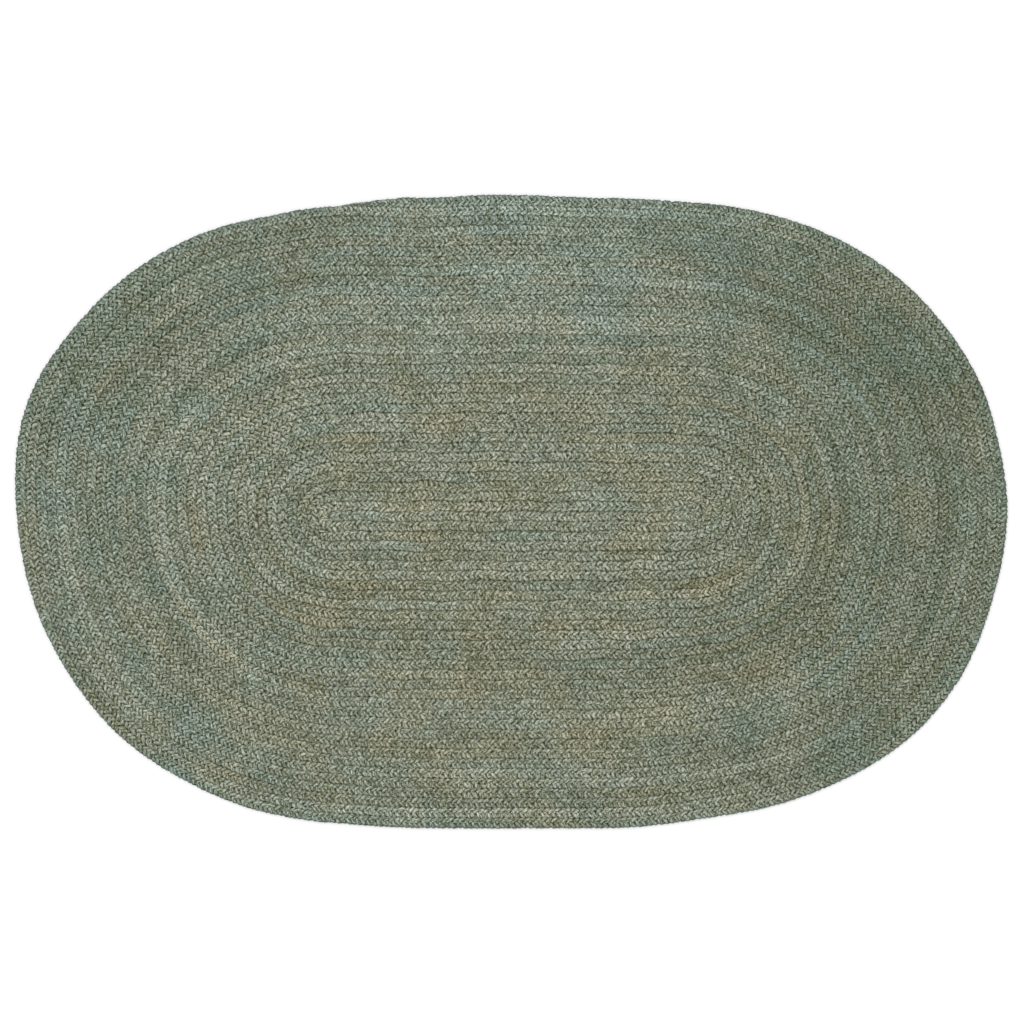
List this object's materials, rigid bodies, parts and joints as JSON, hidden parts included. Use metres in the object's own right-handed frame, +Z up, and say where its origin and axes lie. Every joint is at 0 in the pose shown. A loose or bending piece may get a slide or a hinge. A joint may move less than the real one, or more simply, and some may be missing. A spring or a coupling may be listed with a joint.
{
  "type": "oval braided jute rug",
  "caption": "Flat oval rug of thick plaited jute, coiled from a straight core and sewn edge to edge, in mottled sage green.",
  "frame": {"origin": "middle of the outline's box, on the surface the rug lies on", "axes": "+X along the oval's length, +Y across it to the picture's top, +Z up through the thickness"},
  "size_m": [1.8044, 1.1512, 0.0095],
  "materials": {
    "jute": "matte"
  },
  "bodies": {
    "root": {"braided_rug": "jute"}
  },
  "joints": []
}
